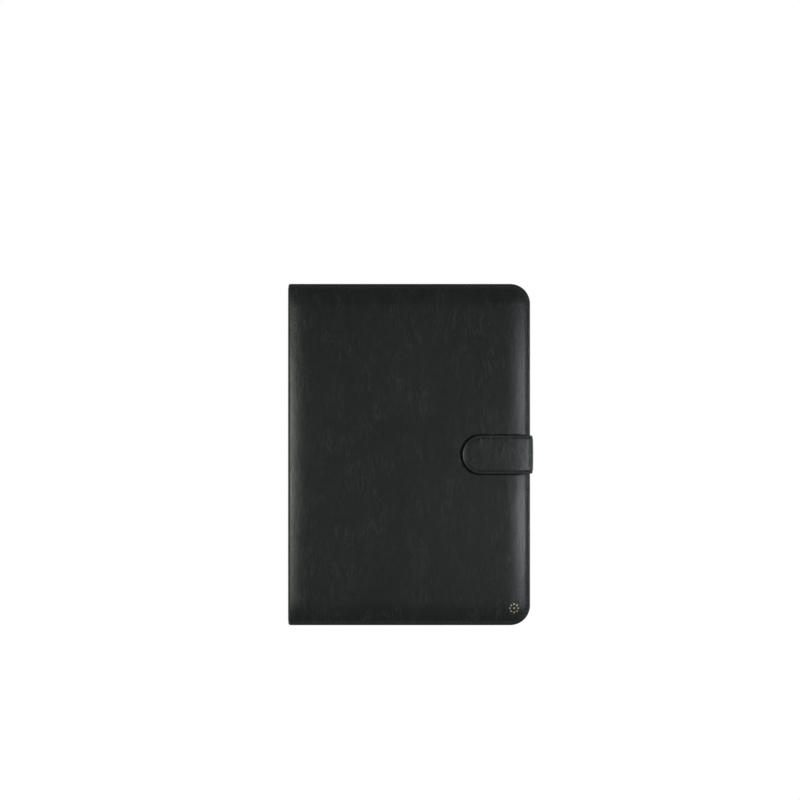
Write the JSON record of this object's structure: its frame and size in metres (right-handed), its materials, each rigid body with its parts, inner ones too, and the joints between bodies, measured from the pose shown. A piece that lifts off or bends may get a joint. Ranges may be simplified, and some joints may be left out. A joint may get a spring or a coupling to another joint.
{
  "type": "tablet case",
  "caption": "Padded black folio case for a tablet, with a moulded tray inside, a folding spine and a magnetic strap that wraps round the open side.",
  "frame": {"origin": "centre of the back cover's outer face, on which the shut case rests", "axes": "+X to the open side, where the strap is; +Y to the top of the case, where the camera hole is; +Z out of the front cover"},
  "size_m": [0.1855, 0.258, 0.0219],
  "materials": {
    "leather": "satin",
    "strap_backing": "matte",
    "lining": "matte",
    "pocket": "satin",
    "board": "matte",
    "foam": "matte",
    "adhesive": "matte",
    "tray": "satin",
    "steel": "satin",
    "magnet": "satin"
  },
  "bodies": {
    "back_cover": {"back_leather": "leather", "back_board": "board", "back_lining": "lining", "strap_anchor": "strap_backing", "tray_adhesive": "adhesive", "tablet_tray": "tray"},
    "spine": {"spine_leather": "leather", "spine_board": "board", "spine_lining": "lining"},
    "front_cover": {"front_leather": "leather", "front_foam": "foam", "front_board": "board", "front_lining": "lining", "clasp_keeper_plate": "steel", "wake_magnets": "magnet", "document_pocket": "pocket", "card_slots": "pocket"},
    "strap_side": {"strap_side_leather": "leather", "strap_side_lining": "strap_backing"},
    "strap_tab": {"strap_tab_leather": "leather", "strap_tab_core": "board", "strap_tab_lining": "strap_backing", "clasp_magnets": "magnet"}
  },
  "joints": [
    {"name": "spine_fold", "type": "hinge", "parent": "back_cover", "child": "spine", "pos_m": [-0.09025, 0, 0.00125], "axis": [0, -1, 0], "range_deg": [0, 180]},
    {"name": "cover_fold", "type": "hinge", "parent": "spine", "child": "front_cover", "pos_m": [-0.09025, 0, 0.01615], "axis": [0, -1, 0], "range_deg": [0, 180]},
    {"name": "strap_root_fold", "type": "hinge", "parent": "back_cover", "child": "strap_side", "pos_m": [0.0929, 0, 0.0015], "axis": [0, 1, 0], "range_deg": [0, 135]},
    {"name": "strap_tip_fold", "type": "hinge", "parent": "strap_side", "child": "strap_tab", "pos_m": [0.0929, 0, 0.0188], "axis": [0, 1, 0], "range_deg": [0, 135]}
  ]
}
